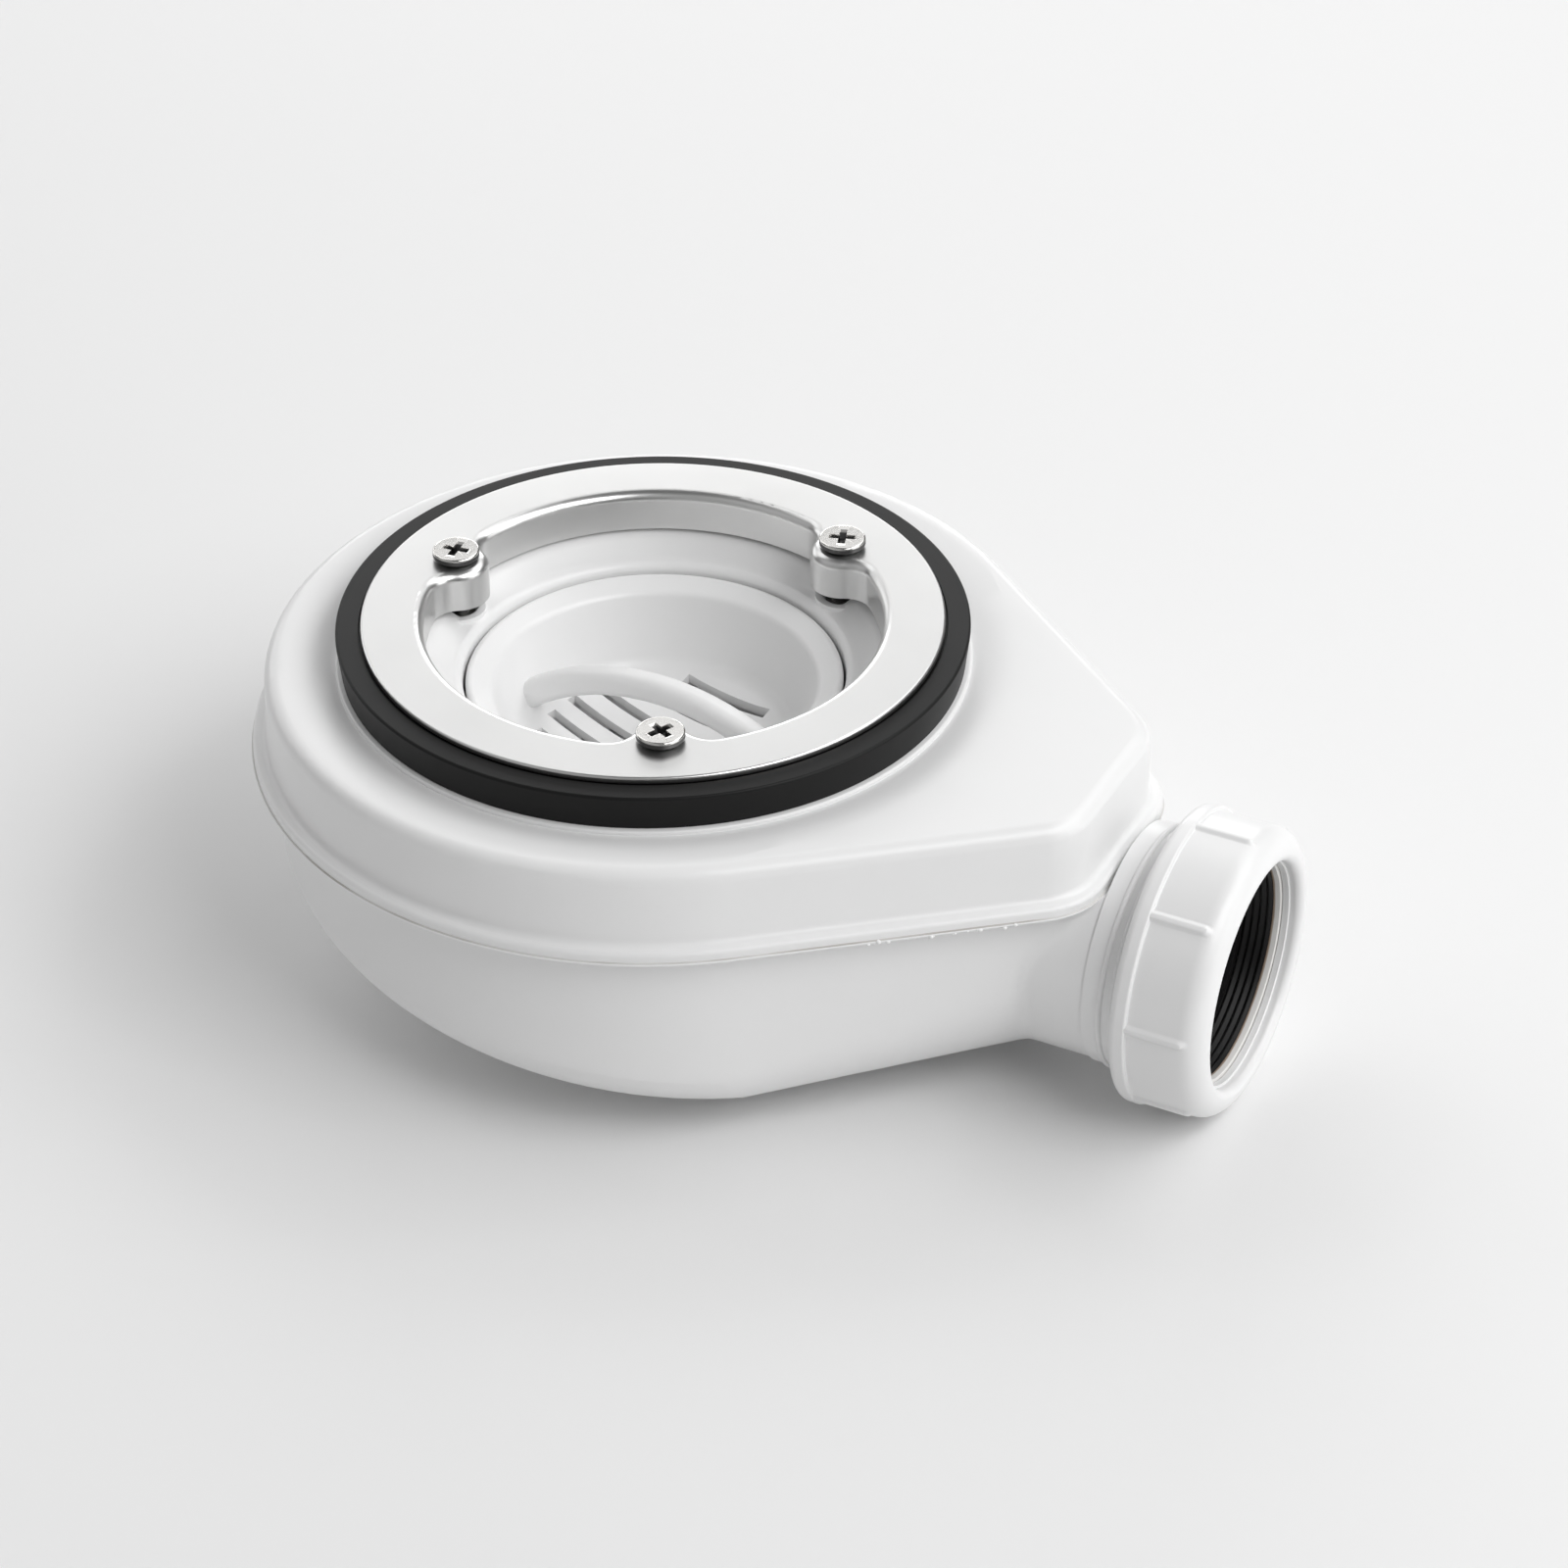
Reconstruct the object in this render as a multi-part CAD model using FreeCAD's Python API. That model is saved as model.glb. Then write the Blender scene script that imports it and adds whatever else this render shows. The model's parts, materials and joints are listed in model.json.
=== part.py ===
import FreeCAD, Part
import math
import os
from FreeCAD import Placement, Rotation, Vector

# Shower waste for a 90 mm tray hole: a two-shell trap body, a clamp ring with its rubber seal,
# a lift-out strainer with its water cup, and a union outlet for 40 mm pipe.
# Millimetres. +Z is up along the drain axis, +X runs out of the outlet,
# and Z = 0 is the plane where the tray sits on the rubber seal.

# Clamp ring
RING_R = 55.0
SHEET = 1.2
OPENING_R = 43.2
SKIRT_DEPTH = 6.9
BEND = 2.0
RING_EDGE_ROUND = 0.5
LUG_NOSE_R = 6.2
LUG_BLEND_R = 5.0
SCREW_CIRCLE_R = 42.8
SCREW_ANGLES = (60.0, 180.0, 300.0)
SCREW_TURNS = (20.0, 8.0, 65.0)

# Clamp screws and their threaded inserts
SCREW_R = 2.0
SCREW_HOLE_R = 2.3
HEAD_R = 4.5
HEAD_FOOT_R = 3.6
HEAD_TAPER = 0.8
HEAD_H = 2.1
HEAD_ROUND = 0.5
RECESS_LENGTH = 4.8
RECESS_W = 1.1
RECESS_DEPTH = 1.5
SCREW_TIP_Z = -18.0
BUSH_R = 3.2
BUSH_TOP_Z = -10.6
BUSH_BOTTOM_Z = -18.4
BUSH_WELL_R = 3.8

# Rubber seal under the ring, with a groove below the ring's edge that parts off the tray's seat
SEAL_R = 59.8
SEAL_FOOT_R = 59.0
SEAL_BORE_R = 45.6
SEAL_H = 7.0
SEAL_ROUND = 0.5
SEAL_GROOVE_W = 0.8
SEAL_GROOVE_DEPTH = 0.6

# Body plan: a round bowl with two straight sides that close in on a flat end
SIDE_ANGLE = 38.5
END_X = 95.4
CORNER_R = 12.0

# Upper shell: a deck, dished around the raised platform that the seal sits on
DECK_Z = -6.6
DECK_T = 3.2
DECK_ROUND = 3.0
PLATFORM_R = 60.1
PLATFORM_ROUND = 0.5
DISH_R = 69.0
DISH_Z = -7.8
PART_Z = -24.0
UPPER_TOP_R = 73.5
UPPER_FOOT_R = 74.0
RIM_OUT = 2.6
RIM_H = 2.2
RIM_FILLET = 1.2
RIM_ROUND = 0.8
WALL = 2.4

# Throat of the upper shell, where the insert seats
MOUTH_R = 45.0
SEAT_R = 39.6
SEAT_Z = -10.6
THROAT_R = 36.4
THROAT_TOP_Z = -10.9
THROAT_ROUND = 1.8
LEDGE_R = 34.5
LEDGE_Z = -20.1
THROAT_FOOT_Z = -23.0
BOSS_R = 5.2
BOSS_FOOT_Z = -20.5

# Lower shell
BOWL_R = 72.2
BOWL_ROUND = 10.0
FLANGE_R = 75.4
FLANGE_H = 1.8
FLANGE_ROUND = 0.6
FLOOR_Z = -58.2
FLOOR_FALL = 0.158

# Outlet, along +X: a neck with a flat top under the rim, then the round spigot that the nut screws onto
OUTLET_Z = -42.5
NECK_R = 22.8
NECK_X = 46.0
FUNNEL_LIFT = 2.1
FUNNEL_INSET = 0.8
NECK_BLEND_R = 6.0
SPIGOT_R = 23.2
SPIGOT_X = 99.5
SPIGOT_END_X = 113.6
PIPE_BORE_R = 20.2
PIPE_STOP_R = 17.2
PIPE_STOP_X = 101.0

# Union nut, slip washer and rubber seal
NUT_BACK_X = 107.7
NUT_STEP_X = 111.2
NUT_FRONT_X = 124.8
NUT_R = 27.8
NUT_FLANGE_R = 28.6
NUT_BORE_R = 23.7
NUT_LIP_R = 21.4
NUT_LIP_T = 3.8
NUT_FRONT_ROUND = 4.5
NUT_LIP_ROUND = 1.6
NUT_BACK_ROUND = 1.8
RIB_COUNT = 8
RIB_TURN = -4.5
RIB_END_X = 121.3
RIB_W = 1.7
RIB_RISE = 0.7
NUT_SLACK = 0.1
WASHER_T = 1.6
WASHER_R = 23.3
WASHER_BORE_R = 20.8
LIP_SEAL_BORE_R = 20.3
LIP_SEAL_RIDGES = 4
LIP_SEAL_RIDGE_H = 0.5

# Lift-out insert
RIM_TOP_R = 35.9
RIM_TOP_Z = -11.9
STEP_R = 31.0
STEP_Z = -14.2
STEP_DROP = 0.8
STRAINER_FLOOR_R = 26.4
STRAINER_FLOOR_Z = -33.0
STRAINER_DISH_R = 69.0
STRAINER_WALL = 1.8
STRAINER_ROUND = 4.0
RIM_TOP_ROUND = 1.0
STEP_ROUND = 0.3
RIM_INNER_R = 31.6
RIM_FOOT_Z = -20.0
DIP_FOOT_Z = -42.0
SLOT_W = 2.3
SLOT_PITCH = 6.3
SLOT_OFFSET = 2.3
SLOT_ANGLE = -11.4
SLOT_MARGIN = 2.9
GRIP_ARC_R = 48.0
GRIP_TOP_Z = -13.4
GRIP_W = 5.0
GRIP_T = 5.4
GRIP_ROUND = 1.6

# Ring seal of the insert, and the water cup clipped below it
ORING_R = 0.78
ORING_GAP = 0.03
ORING_Z = -17.2
ORING_GROOVE = 1.3
CUP_R = 33.6
CUP_WALL = 1.6
CUP_BRIM_Z = -26.0
CUP_FLOOR_Z = -47.0
CUP_ROUND = 4.0
CUP_LEGS = 3
CUP_LEG_W = 9.0

# Pole of a cubic curve that draws a quarter of an ellipse
ROUND_POLE = 0.5523
# Half of the flat that is left at the bottom of the neck's round section
NECK_FLAT = 0.6

UP = Vector(0, 0, 1)
ALONG = Vector(1, 0, 0)
ORIGIN = Vector(0, 0, 0)
OUTLET_AXIS = Vector(0, 0, OUTLET_Z)


def polar(radius, degrees, z=0.0):
    angle = math.radians(degrees)
    return Vector(radius * math.cos(angle), radius * math.sin(angle), z)


def line(start, end):
    return Part.LineSegment(start, end).toShape()


def arc(start, middle, end):
    return Part.Arc(start, middle, end).toShape()


def prism(wire, z_low, z_high):
    """A solid on a flat outline drawn at z = 0."""
    face = Part.Face(wire)
    face.translate(Vector(0, 0, z_low))
    return face.extrude(Vector(0, 0, z_high - z_low))


def disc(radius, z_low, z_high, centre=ORIGIN):
    return Part.makeCylinder(radius, z_high - z_low, Vector(centre.x, centre.y, z_low), UP)


def rod(radius, x_low, x_high):
    """A cylinder on the outlet axis."""
    return Part.makeCylinder(radius, x_high - x_low, Vector(x_low, 0, OUTLET_Z), ALONG)


def turned(profile):
    """A solid turned about the drain axis from (radius, z) corners."""
    points = [Vector(radius, 0, z) for radius, z in profile]
    return Part.Face(Part.makePolygon(points + points[:1])).revolve(ORIGIN, UP, 360)


def turned_on_outlet(profile):
    """A solid turned about the outlet axis from (x, radius) corners."""
    points = [Vector(x, 0, OUTLET_Z + radius) for x, radius in profile]
    return Part.Face(Part.makePolygon(points + points[:1])).revolve(OUTLET_AXIS, ALONG, 360)


def level_edges(shape, z):
    """The edges that lie flat at one height."""
    boxes = [(edge, edge.BoundBox) for edge in shape.Edges]
    return [edge for edge, box in boxes if abs(box.ZMin - z) < 1e-4 and abs(box.ZMax - z) < 1e-4]


def circle_edges(shape, radius, z):
    """The round edges of one radius at one height on the drain axis."""
    return [edge for edge in level_edges(shape, z)
            if isinstance(edge.Curve, Part.Circle) and abs(edge.Curve.Radius - radius) < 1e-4]


def outlet_edges(shape, radius, x):
    """The round edges of one radius at one place along the outlet axis."""
    return [edge for edge in shape.Edges
            if isinstance(edge.Curve, Part.Circle)
            and abs(edge.Curve.Radius - radius) < 1e-4 and abs(edge.Curve.Center.x - x) < 1e-4]


def spread(shape, count):
    """Copies of a shape, evenly turned about the drain axis."""
    copies = []
    for index in range(count):
        copy = shape.copy()
        copy.rotate(ORIGIN, UP, 360.0 * index / count)
        copies.append(copy)
    return copies


def teardrop(radius, z=0.0):
    """Outline of the body in plan; every side moves outwards with the radius."""
    turn = math.radians(SIDE_ANGLE)
    grow = radius - UPPER_TOP_R
    end_x = END_X + grow
    corner = CORNER_R + grow
    tangent = polar(radius, 90.0 - SIDE_ANGLE, z)
    end_y = (radius - end_x * math.sin(turn)) / math.cos(turn)
    trim = corner * math.tan((math.pi / 2 - turn) / 2)
    side_end = Vector(end_x - trim * math.sin(turn) / math.tan(turn), end_y + trim * math.sin(turn), z)
    flat_end = Vector(end_x, end_y - trim, z)
    corner_middle = Vector(end_x - corner, end_y - trim, z) + polar(corner, (90.0 - SIDE_ANGLE) / 2)

    def mirrored(point):
        return Vector(point.x, -point.y, point.z)

    return Part.Wire([
        arc(mirrored(tangent), Vector(-radius, 0, z), tangent),
        line(tangent, side_end),
        arc(side_end, corner_middle, flat_end),
        line(flat_end, mirrored(flat_end)),
        arc(mirrored(flat_end), mirrored(corner_middle), mirrored(side_end)),
        line(mirrored(side_end), mirrored(tangent)),
    ])


def opening_outline(grow):
    """The ring's inner outline: three large arcs joined by three inward lugs."""
    main = OPENING_R + grow
    nose = LUG_NOSE_R - grow
    blend = LUG_BLEND_R + grow
    blend_circle = main - blend
    cosine = blend_circle ** 2 + SCREW_CIRCLE_R ** 2 - (nose + blend) ** 2
    half_lug = math.degrees(math.acos(cosine / (2 * blend_circle * SCREW_CIRCLE_R)))
    span = 360.0 / len(SCREW_ANGLES)
    edges = []
    for angle in SCREW_ANGLES:
        flanks = []
        for side in (-1, 1):
            centre = polar(blend_circle, angle + side * half_lug)
            outwards = (polar(main, angle + side * half_lug) - centre).normalize()
            inwards = (polar(SCREW_CIRCLE_R, angle) - centre).normalize()
            between = (outwards + inwards).normalize()
            flanks.append([centre + way * blend for way in (outwards, between, inwards)])
        first, last = flanks
        edges.append(arc(*first))
        edges.append(arc(first[2], polar(SCREW_CIRCLE_R - nose, angle), last[2]))
        edges.append(arc(*reversed(last)))
        edges.append(arc(last[0], polar(main, angle + span / 2), polar(main, angle + span - half_lug)))
    return Part.Wire(edges)


def make_clamp_ring():
    plate = disc(RING_R, 0, SHEET)
    skirt = prism(opening_outline(SHEET), -SKIRT_DEPTH, SHEET)
    opening = prism(opening_outline(0), -SKIRT_DEPTH, SHEET)
    ring = plate.fuse(skirt).cut(opening).removeSplitter()
    outer_edge = circle_edges(ring, RING_R, SHEET)[0]
    ring = ring.makeFillet(BEND, [edge for edge in level_edges(ring, SHEET) if not edge.isSame(outer_edge)])
    outer_edge = circle_edges(ring, RING_R, 0)[0]
    ring = ring.makeFillet(BEND - SHEET, [edge for edge in level_edges(ring, 0) if not edge.isSame(outer_edge)])
    ring = ring.makeFillet(RING_EDGE_ROUND, circle_edges(ring, RING_R, SHEET))
    holes = [disc(SCREW_HOLE_R, -1, SHEET + 1, polar(SCREW_CIRCLE_R, angle)) for angle in SCREW_ANGLES]
    return ring.cut(Part.makeCompound(holes))


def make_clamp_screws():
    top = SHEET + HEAD_H
    head = turned([(0, SHEET), (HEAD_FOOT_R, SHEET), (HEAD_R, SHEET + HEAD_TAPER), (HEAD_R, top), (0, top)])
    head = head.makeFillet(HEAD_ROUND, circle_edges(head, HEAD_R, top))
    shank = disc(SCREW_R, SCREW_TIP_Z, SHEET)
    bar = Part.makeBox(RECESS_LENGTH, RECESS_W, RECESS_DEPTH,
                       Vector(-RECESS_LENGTH / 2, -RECESS_W / 2, top - RECESS_DEPTH))
    cross = bar.fuse(bar.rotated(ORIGIN, UP, 90))
    screw = head.fuse(shank).cut(cross).removeSplitter()
    screws = []
    for angle, turn in zip(SCREW_ANGLES, SCREW_TURNS):
        screws.append(screw.rotated(ORIGIN, UP, turn).translated(polar(SCREW_CIRCLE_R, angle)))
    return Part.makeCompound(screws)


def make_screw_inserts():
    bushes = []
    for angle in SCREW_ANGLES:
        centre = polar(SCREW_CIRCLE_R, angle)
        bush = disc(BUSH_R, BUSH_BOTTOM_Z, BUSH_TOP_Z, centre)
        bushes.append(bush.cut(disc(SCREW_R, BUSH_BOTTOM_Z, BUSH_TOP_Z, centre)))
    return Part.makeCompound(bushes)


def make_flange_seal():
    seal = turned([(SEAL_BORE_R, -SEAL_H), (SEAL_FOOT_R, -SEAL_H), (SEAL_R, 0), (SEAL_BORE_R, 0)])
    seal = seal.makeFillet(SEAL_ROUND, circle_edges(seal, SEAL_R, 0))
    groove = disc(RING_R + SEAL_GROOVE_W / 2, -SEAL_GROOVE_DEPTH, 0)
    groove = groove.cut(disc(RING_R - SEAL_GROOVE_W / 2, -SEAL_GROOVE_DEPTH, 0))
    return seal.cut(groove)


def upper_form(inset, deck_inset):
    """The upper shell's outer form, or its hollow when the insets are the walls' thickness."""
    top_z = DECK_Z - deck_inset
    foot = teardrop(UPPER_FOOT_R - inset, PART_Z)
    top = teardrop(UPPER_TOP_R - inset, top_z)
    form = Part.makeLoft([foot, top], True, True)
    return form.makeFillet(DECK_ROUND - inset, level_edges(form, top_z))


def make_upper_shell():
    rim_z = PART_Z + RIM_H
    rim_outline = teardrop(UPPER_FOOT_R + RIM_OUT, rim_z)
    rim = prism(teardrop(UPPER_FOOT_R + RIM_OUT), PART_Z, rim_z)
    shell = upper_form(0, 0).fuse(rim).removeSplitter()
    wall_foot = [edge for edge in level_edges(shell, rim_z) if edge.distToShape(rim_outline)[0] > RIM_OUT / 2]
    shell = shell.makeFillet(RIM_FILLET, wall_foot)
    rim_edges = [edge for edge in level_edges(shell, rim_z) if edge.distToShape(rim_outline)[0] < 1e-3]
    shell = shell.makeFillet(RIM_ROUND, rim_edges)
    shell = shell.cut(turned([(0, -SEAL_H), (PLATFORM_R, -SEAL_H), (PLATFORM_R, DISH_Z), (DISH_R, DECK_Z),
                              (DISH_R, 0), (0, 0)]))
    shell = shell.makeFillet(PLATFORM_ROUND, circle_edges(shell, PLATFORM_R, -SEAL_H))
    shell = shell.cut(upper_form(WALL, DECK_T))
    shell = shell.cut(disc(MOUTH_R + 1, PART_Z, 0))
    deck_foot_z = DECK_Z - DECK_T
    throat = turned([
        (MOUTH_R + 1, -SEAL_H), (MOUTH_R, -SEAL_H), (SEAT_R, SEAT_Z), (THROAT_R, THROAT_TOP_Z),
        (THROAT_R, LEDGE_Z), (LEDGE_R, LEDGE_Z), (LEDGE_R, THROAT_FOOT_Z), (THROAT_R + WALL, THROAT_FOOT_Z),
        (THROAT_R + WALL, SEAT_Z - 2 * WALL), (MOUTH_R + 1, deck_foot_z),
    ])
    throat = throat.makeFillet(THROAT_ROUND, circle_edges(throat, THROAT_R, THROAT_TOP_Z))
    shell = shell.fuse(throat)
    for angle in SCREW_ANGLES:
        centre = polar(SCREW_CIRCLE_R, angle)
        shell = shell.fuse(disc(BOSS_R, BOSS_FOOT_Z, deck_foot_z, centre))
        shell = shell.cut(disc(BUSH_WELL_R, BUSH_TOP_Z, 0, centre))
        shell = shell.cut(disc(BUSH_R, BUSH_BOTTOM_Z, 0, centre))
    return shell.removeSplitter()


def quarter_round(start, corner, end):
    """A quarter of an ellipse inside a corner."""
    curve = Part.BezierCurve()
    curve.setPoles([start, start + (corner - start) * ROUND_POLE, end + (corner - end) * ROUND_POLE, end])
    return curve.toShape()


def outlet_section(x, half_width, floor_z, round_w, round_h):
    """A U-shaped outline across the outlet, with its flat top at the parting plane."""
    flat = half_width - round_w
    low = floor_z + round_h
    sides = []
    for side in (1, -1):
        sides.append([Vector(x, side * y, z) for y, z in
                      ((half_width, PART_Z), (half_width, low), (half_width, floor_z), (flat, floor_z))])
    left, right = sides
    return Part.Wire([
        line(left[0], left[1]), quarter_round(*left[1:]), line(left[3], right[3]),
        quarter_round(*reversed(right[1:])), line(right[1], right[0]), line(right[0], left[0]),
    ])


def bowl_form(inset):
    """The lower shell's outer form, or its hollow when the inset is a wall's thickness."""
    turn = math.radians(SIDE_ANGLE)
    radius = BOWL_R - inset
    rounding = BOWL_ROUND - inset
    neck_r = NECK_R - inset
    slope = math.atan(FLOOR_FALL)
    reach = 2 * BOWL_R
    above_floor = Part.makeBox(2 * reach, 2 * reach, reach, Vector(-reach, -reach, 0))
    tilt = Rotation(Vector(0, 1, 0), math.degrees(slope))
    above_floor.Placement = Placement(Vector(0, 0, FLOOR_Z + inset / math.cos(slope)), tilt)
    bowl = disc(radius, -reach, PART_Z).common(above_floor)
    bowl = bowl.makeFillet(rounding, [edge for edge in bowl.Edges if edge.BoundBox.ZMax < PART_Z - rounding
                                      and edge.BoundBox.YLength > radius])
    start_x = radius * math.sin(turn)
    bowl = bowl.common(Part.makeBox(reach + start_x, 2 * reach, 2 * reach, Vector(-reach, -reach, -reach)))
    start = [face.OuterWire for face in bowl.Faces if face.BoundBox.XMin > start_x - 1e-4][0]
    end_half_width = neck_r - FUNNEL_INSET
    end_x = (radius - end_half_width * math.cos(turn)) / math.sin(turn)
    end_floor_z = OUTLET_Z - neck_r + FUNNEL_LIFT
    end = outlet_section(end_x, end_half_width, end_floor_z, end_half_width - NECK_FLAT, OUTLET_Z - end_floor_z)
    funnel = Part.makeLoft([start, end], True, True)
    beyond = Part.makeBox(reach, 2 * reach, 2 * reach, Vector(end_x, -reach, -reach))
    tail = prism(teardrop(radius), OUTLET_Z, PART_Z).common(beyond)
    return bowl.fuse([funnel, tail])


def make_lower_shell():
    neck = rod(NECK_R, NECK_X, SPIGOT_X).common(disc(2 * BOWL_R, -2 * BOWL_R, PART_Z))
    shell = bowl_form(0).fuse(neck).removeSplitter()
    neck_edges = []
    for edge in shell.Edges:
        surfaces = [face.Surface for face in shell.ancestorsOfType(edge, Part.Face)]
        on_neck = [isinstance(face, Part.Cylinder) and abs(face.Radius - NECK_R) < 1e-4 for face in surfaces]
        if on_neck.count(True) == 1 and edge.BoundBox.XMin > NECK_X + 1 and edge.BoundBox.XMax < SPIGOT_X - 1:
            neck_edges.append(edge)
    shell = shell.makeFillet(NECK_BLEND_R, neck_edges)
    flange = prism(teardrop(FLANGE_R), PART_Z - FLANGE_H, PART_Z)
    flange = flange.makeFillet(FLANGE_ROUND, level_edges(flange, PART_Z - FLANGE_H))
    shell = shell.fuse([flange, rod(SPIGOT_R, SPIGOT_X, SPIGOT_END_X)])
    shell = shell.cut(bowl_form(WALL)).cut(rod(PIPE_STOP_R, BOWL_R / 2, PIPE_STOP_X))
    shell = shell.cut(rod(PIPE_BORE_R, PIPE_STOP_X, SPIGOT_END_X))
    return shell.removeSplitter()


def make_outlet_nut():
    shoulder_x = NUT_FRONT_X - NUT_LIP_T
    nut = turned_on_outlet([
        (NUT_BACK_X, NUT_BORE_R), (NUT_BACK_X, NUT_FLANGE_R), (NUT_STEP_X, NUT_FLANGE_R), (NUT_STEP_X, NUT_R),
        (NUT_FRONT_X, NUT_R), (NUT_FRONT_X, NUT_LIP_R), (shoulder_x, NUT_LIP_R), (shoulder_x, NUT_BORE_R),
    ])
    nut = nut.makeFillet(NUT_BACK_ROUND, outlet_edges(nut, NUT_FLANGE_R, NUT_BACK_X))
    nut = nut.makeFillet(NUT_FRONT_ROUND, outlet_edges(nut, NUT_R, NUT_FRONT_X))
    nut = nut.makeFillet(NUT_LIP_ROUND, outlet_edges(nut, NUT_LIP_R, NUT_FRONT_X))
    rib_foot = Vector(NUT_STEP_X, 0, OUTLET_Z + NUT_R + RIB_RISE - RIB_W / 2)
    rib_length = RIB_END_X - RIB_W / 2 - NUT_STEP_X
    rib = Part.makeCylinder(RIB_W / 2, rib_length, rib_foot, ALONG)
    rib = rib.fuse(Part.makeSphere(RIB_W / 2, rib_foot + ALONG * rib_length))
    ribs = [rib.rotated(OUTLET_AXIS, ALONG, RIB_TURN + 360.0 * index / RIB_COUNT) for index in range(RIB_COUNT)]
    return nut.fuse(ribs).removeSplitter()


def make_slip_washer():
    shoulder_x = NUT_FRONT_X - NUT_LIP_T - NUT_SLACK
    back_x = shoulder_x - WASHER_T
    return rod(WASHER_R, back_x, shoulder_x).cut(rod(WASHER_BORE_R, back_x, shoulder_x))


def make_outlet_seal():
    front_x = NUT_FRONT_X - NUT_LIP_T - NUT_SLACK - WASHER_T
    back_x = SPIGOT_END_X + NUT_SLACK
    pitch = (front_x - back_x) / LIP_SEAL_RIDGES
    ridges = []
    for index in range(LIP_SEAL_RIDGES):
        x = front_x - index * pitch
        ridges.append((x, LIP_SEAL_BORE_R + LIP_SEAL_RIDGE_H))
        ridges.append((x - pitch / 2, LIP_SEAL_BORE_R))
    ridges.append((back_x, LIP_SEAL_BORE_R + LIP_SEAL_RIDGE_H))
    return turned_on_outlet(ridges + [(back_x, WASHER_R), (front_x, WASHER_R)])


def slotted_dish():
    """The insert's dished floor, filled with parallel slots."""
    centre = Vector(0, 0, STRAINER_FLOOR_Z + STRAINER_DISH_R)
    dish = Part.makeSphere(STRAINER_DISH_R + STRAINER_WALL, centre)
    dish = dish.cut(Part.makeSphere(STRAINER_DISH_R, centre))
    dish = dish.common(disc(STRAINER_FLOOR_R + STRAINER_WALL / 4, DIP_FOOT_Z, STEP_Z))
    radius = STRAINER_FLOOR_R - SLOT_MARGIN
    height = STEP_Z - DIP_FOOT_Z
    first = math.ceil((-radius - SLOT_OFFSET) / SLOT_PITCH)
    last = math.floor((radius - SLOT_OFFSET) / SLOT_PITCH)
    for index in range(first, last + 1):
        offset = SLOT_OFFSET + index * SLOT_PITCH
        half = math.sqrt(radius ** 2 - offset ** 2)
        slot = Part.makeBox(2 * half, SLOT_W, height, Vector(-half, offset - SLOT_W / 2, DIP_FOOT_Z))
        dish = dish.cut(slot.rotated(ORIGIN, UP, SLOT_ANGLE))
    return dish


def make_grip():
    """The arched strap across the insert."""
    centre_z = GRIP_TOP_Z - GRIP_ARC_R
    outer = Part.makeCylinder(GRIP_ARC_R, GRIP_W, Vector(0, GRIP_W / 2, centre_z), Vector(0, -1, 0))
    inner = Part.makeCylinder(GRIP_ARC_R - GRIP_T, GRIP_W, Vector(0, GRIP_W / 2, centre_z), Vector(0, -1, 0))
    strap = outer.cut(inner)
    rounded = [edge for edge in strap.Edges if isinstance(edge.Curve, Part.Circle)
               and abs(edge.Curve.Radius - GRIP_ARC_R) < 1e-4]
    return strap.makeFillet(GRIP_ROUND, rounded)


def make_strainer_insert():
    groove_r = RIM_TOP_R - ORING_GROOVE
    groove_half = ORING_GROOVE
    dish_edge_z = STRAINER_FLOOR_Z + STRAINER_DISH_R - math.sqrt(STRAINER_DISH_R ** 2 - STRAINER_FLOOR_R ** 2)
    wall_top_z = STEP_Z - STEP_DROP
    dip_r = STRAINER_FLOOR_R + STRAINER_WALL
    insert = turned([
        (STRAINER_FLOOR_R, dish_edge_z), (STEP_R, wall_top_z), (STEP_R, STEP_Z), (RIM_TOP_R, RIM_TOP_Z),
        (RIM_TOP_R, ORING_Z + groove_half), (groove_r, ORING_Z + groove_half),
        (groove_r, ORING_Z - groove_half), (RIM_TOP_R, ORING_Z - groove_half), (RIM_TOP_R, RIM_FOOT_Z),
        (RIM_INNER_R, RIM_FOOT_Z), (dip_r, STRAINER_FLOOR_Z), (dip_r, DIP_FOOT_Z),
        (STRAINER_FLOOR_R, DIP_FOOT_Z),
    ])
    insert = insert.makeFillet(RIM_TOP_ROUND, circle_edges(insert, RIM_TOP_R, RIM_TOP_Z))
    insert = insert.makeFillet(STEP_ROUND, circle_edges(insert, STEP_R, STEP_Z))
    insert = insert.fuse(slotted_dish()).removeSplitter()
    insert = insert.makeFillet(STRAINER_ROUND, circle_edges(insert, STRAINER_FLOOR_R, dish_edge_z))
    bowl = turned([(0, STRAINER_FLOOR_Z), (STRAINER_FLOOR_R, dish_edge_z - STRAINER_WALL / 2),
                   (STEP_R + STRAINER_WALL / 2, wall_top_z), (0, STEP_Z + 5)])
    return insert.fuse(make_grip().common(bowl)).removeSplitter()


def make_insert_oring():
    return Part.makeTorus(RIM_TOP_R - ORING_GROOVE + ORING_GAP + ORING_R, ORING_R, Vector(0, 0, ORING_Z), UP)


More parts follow.
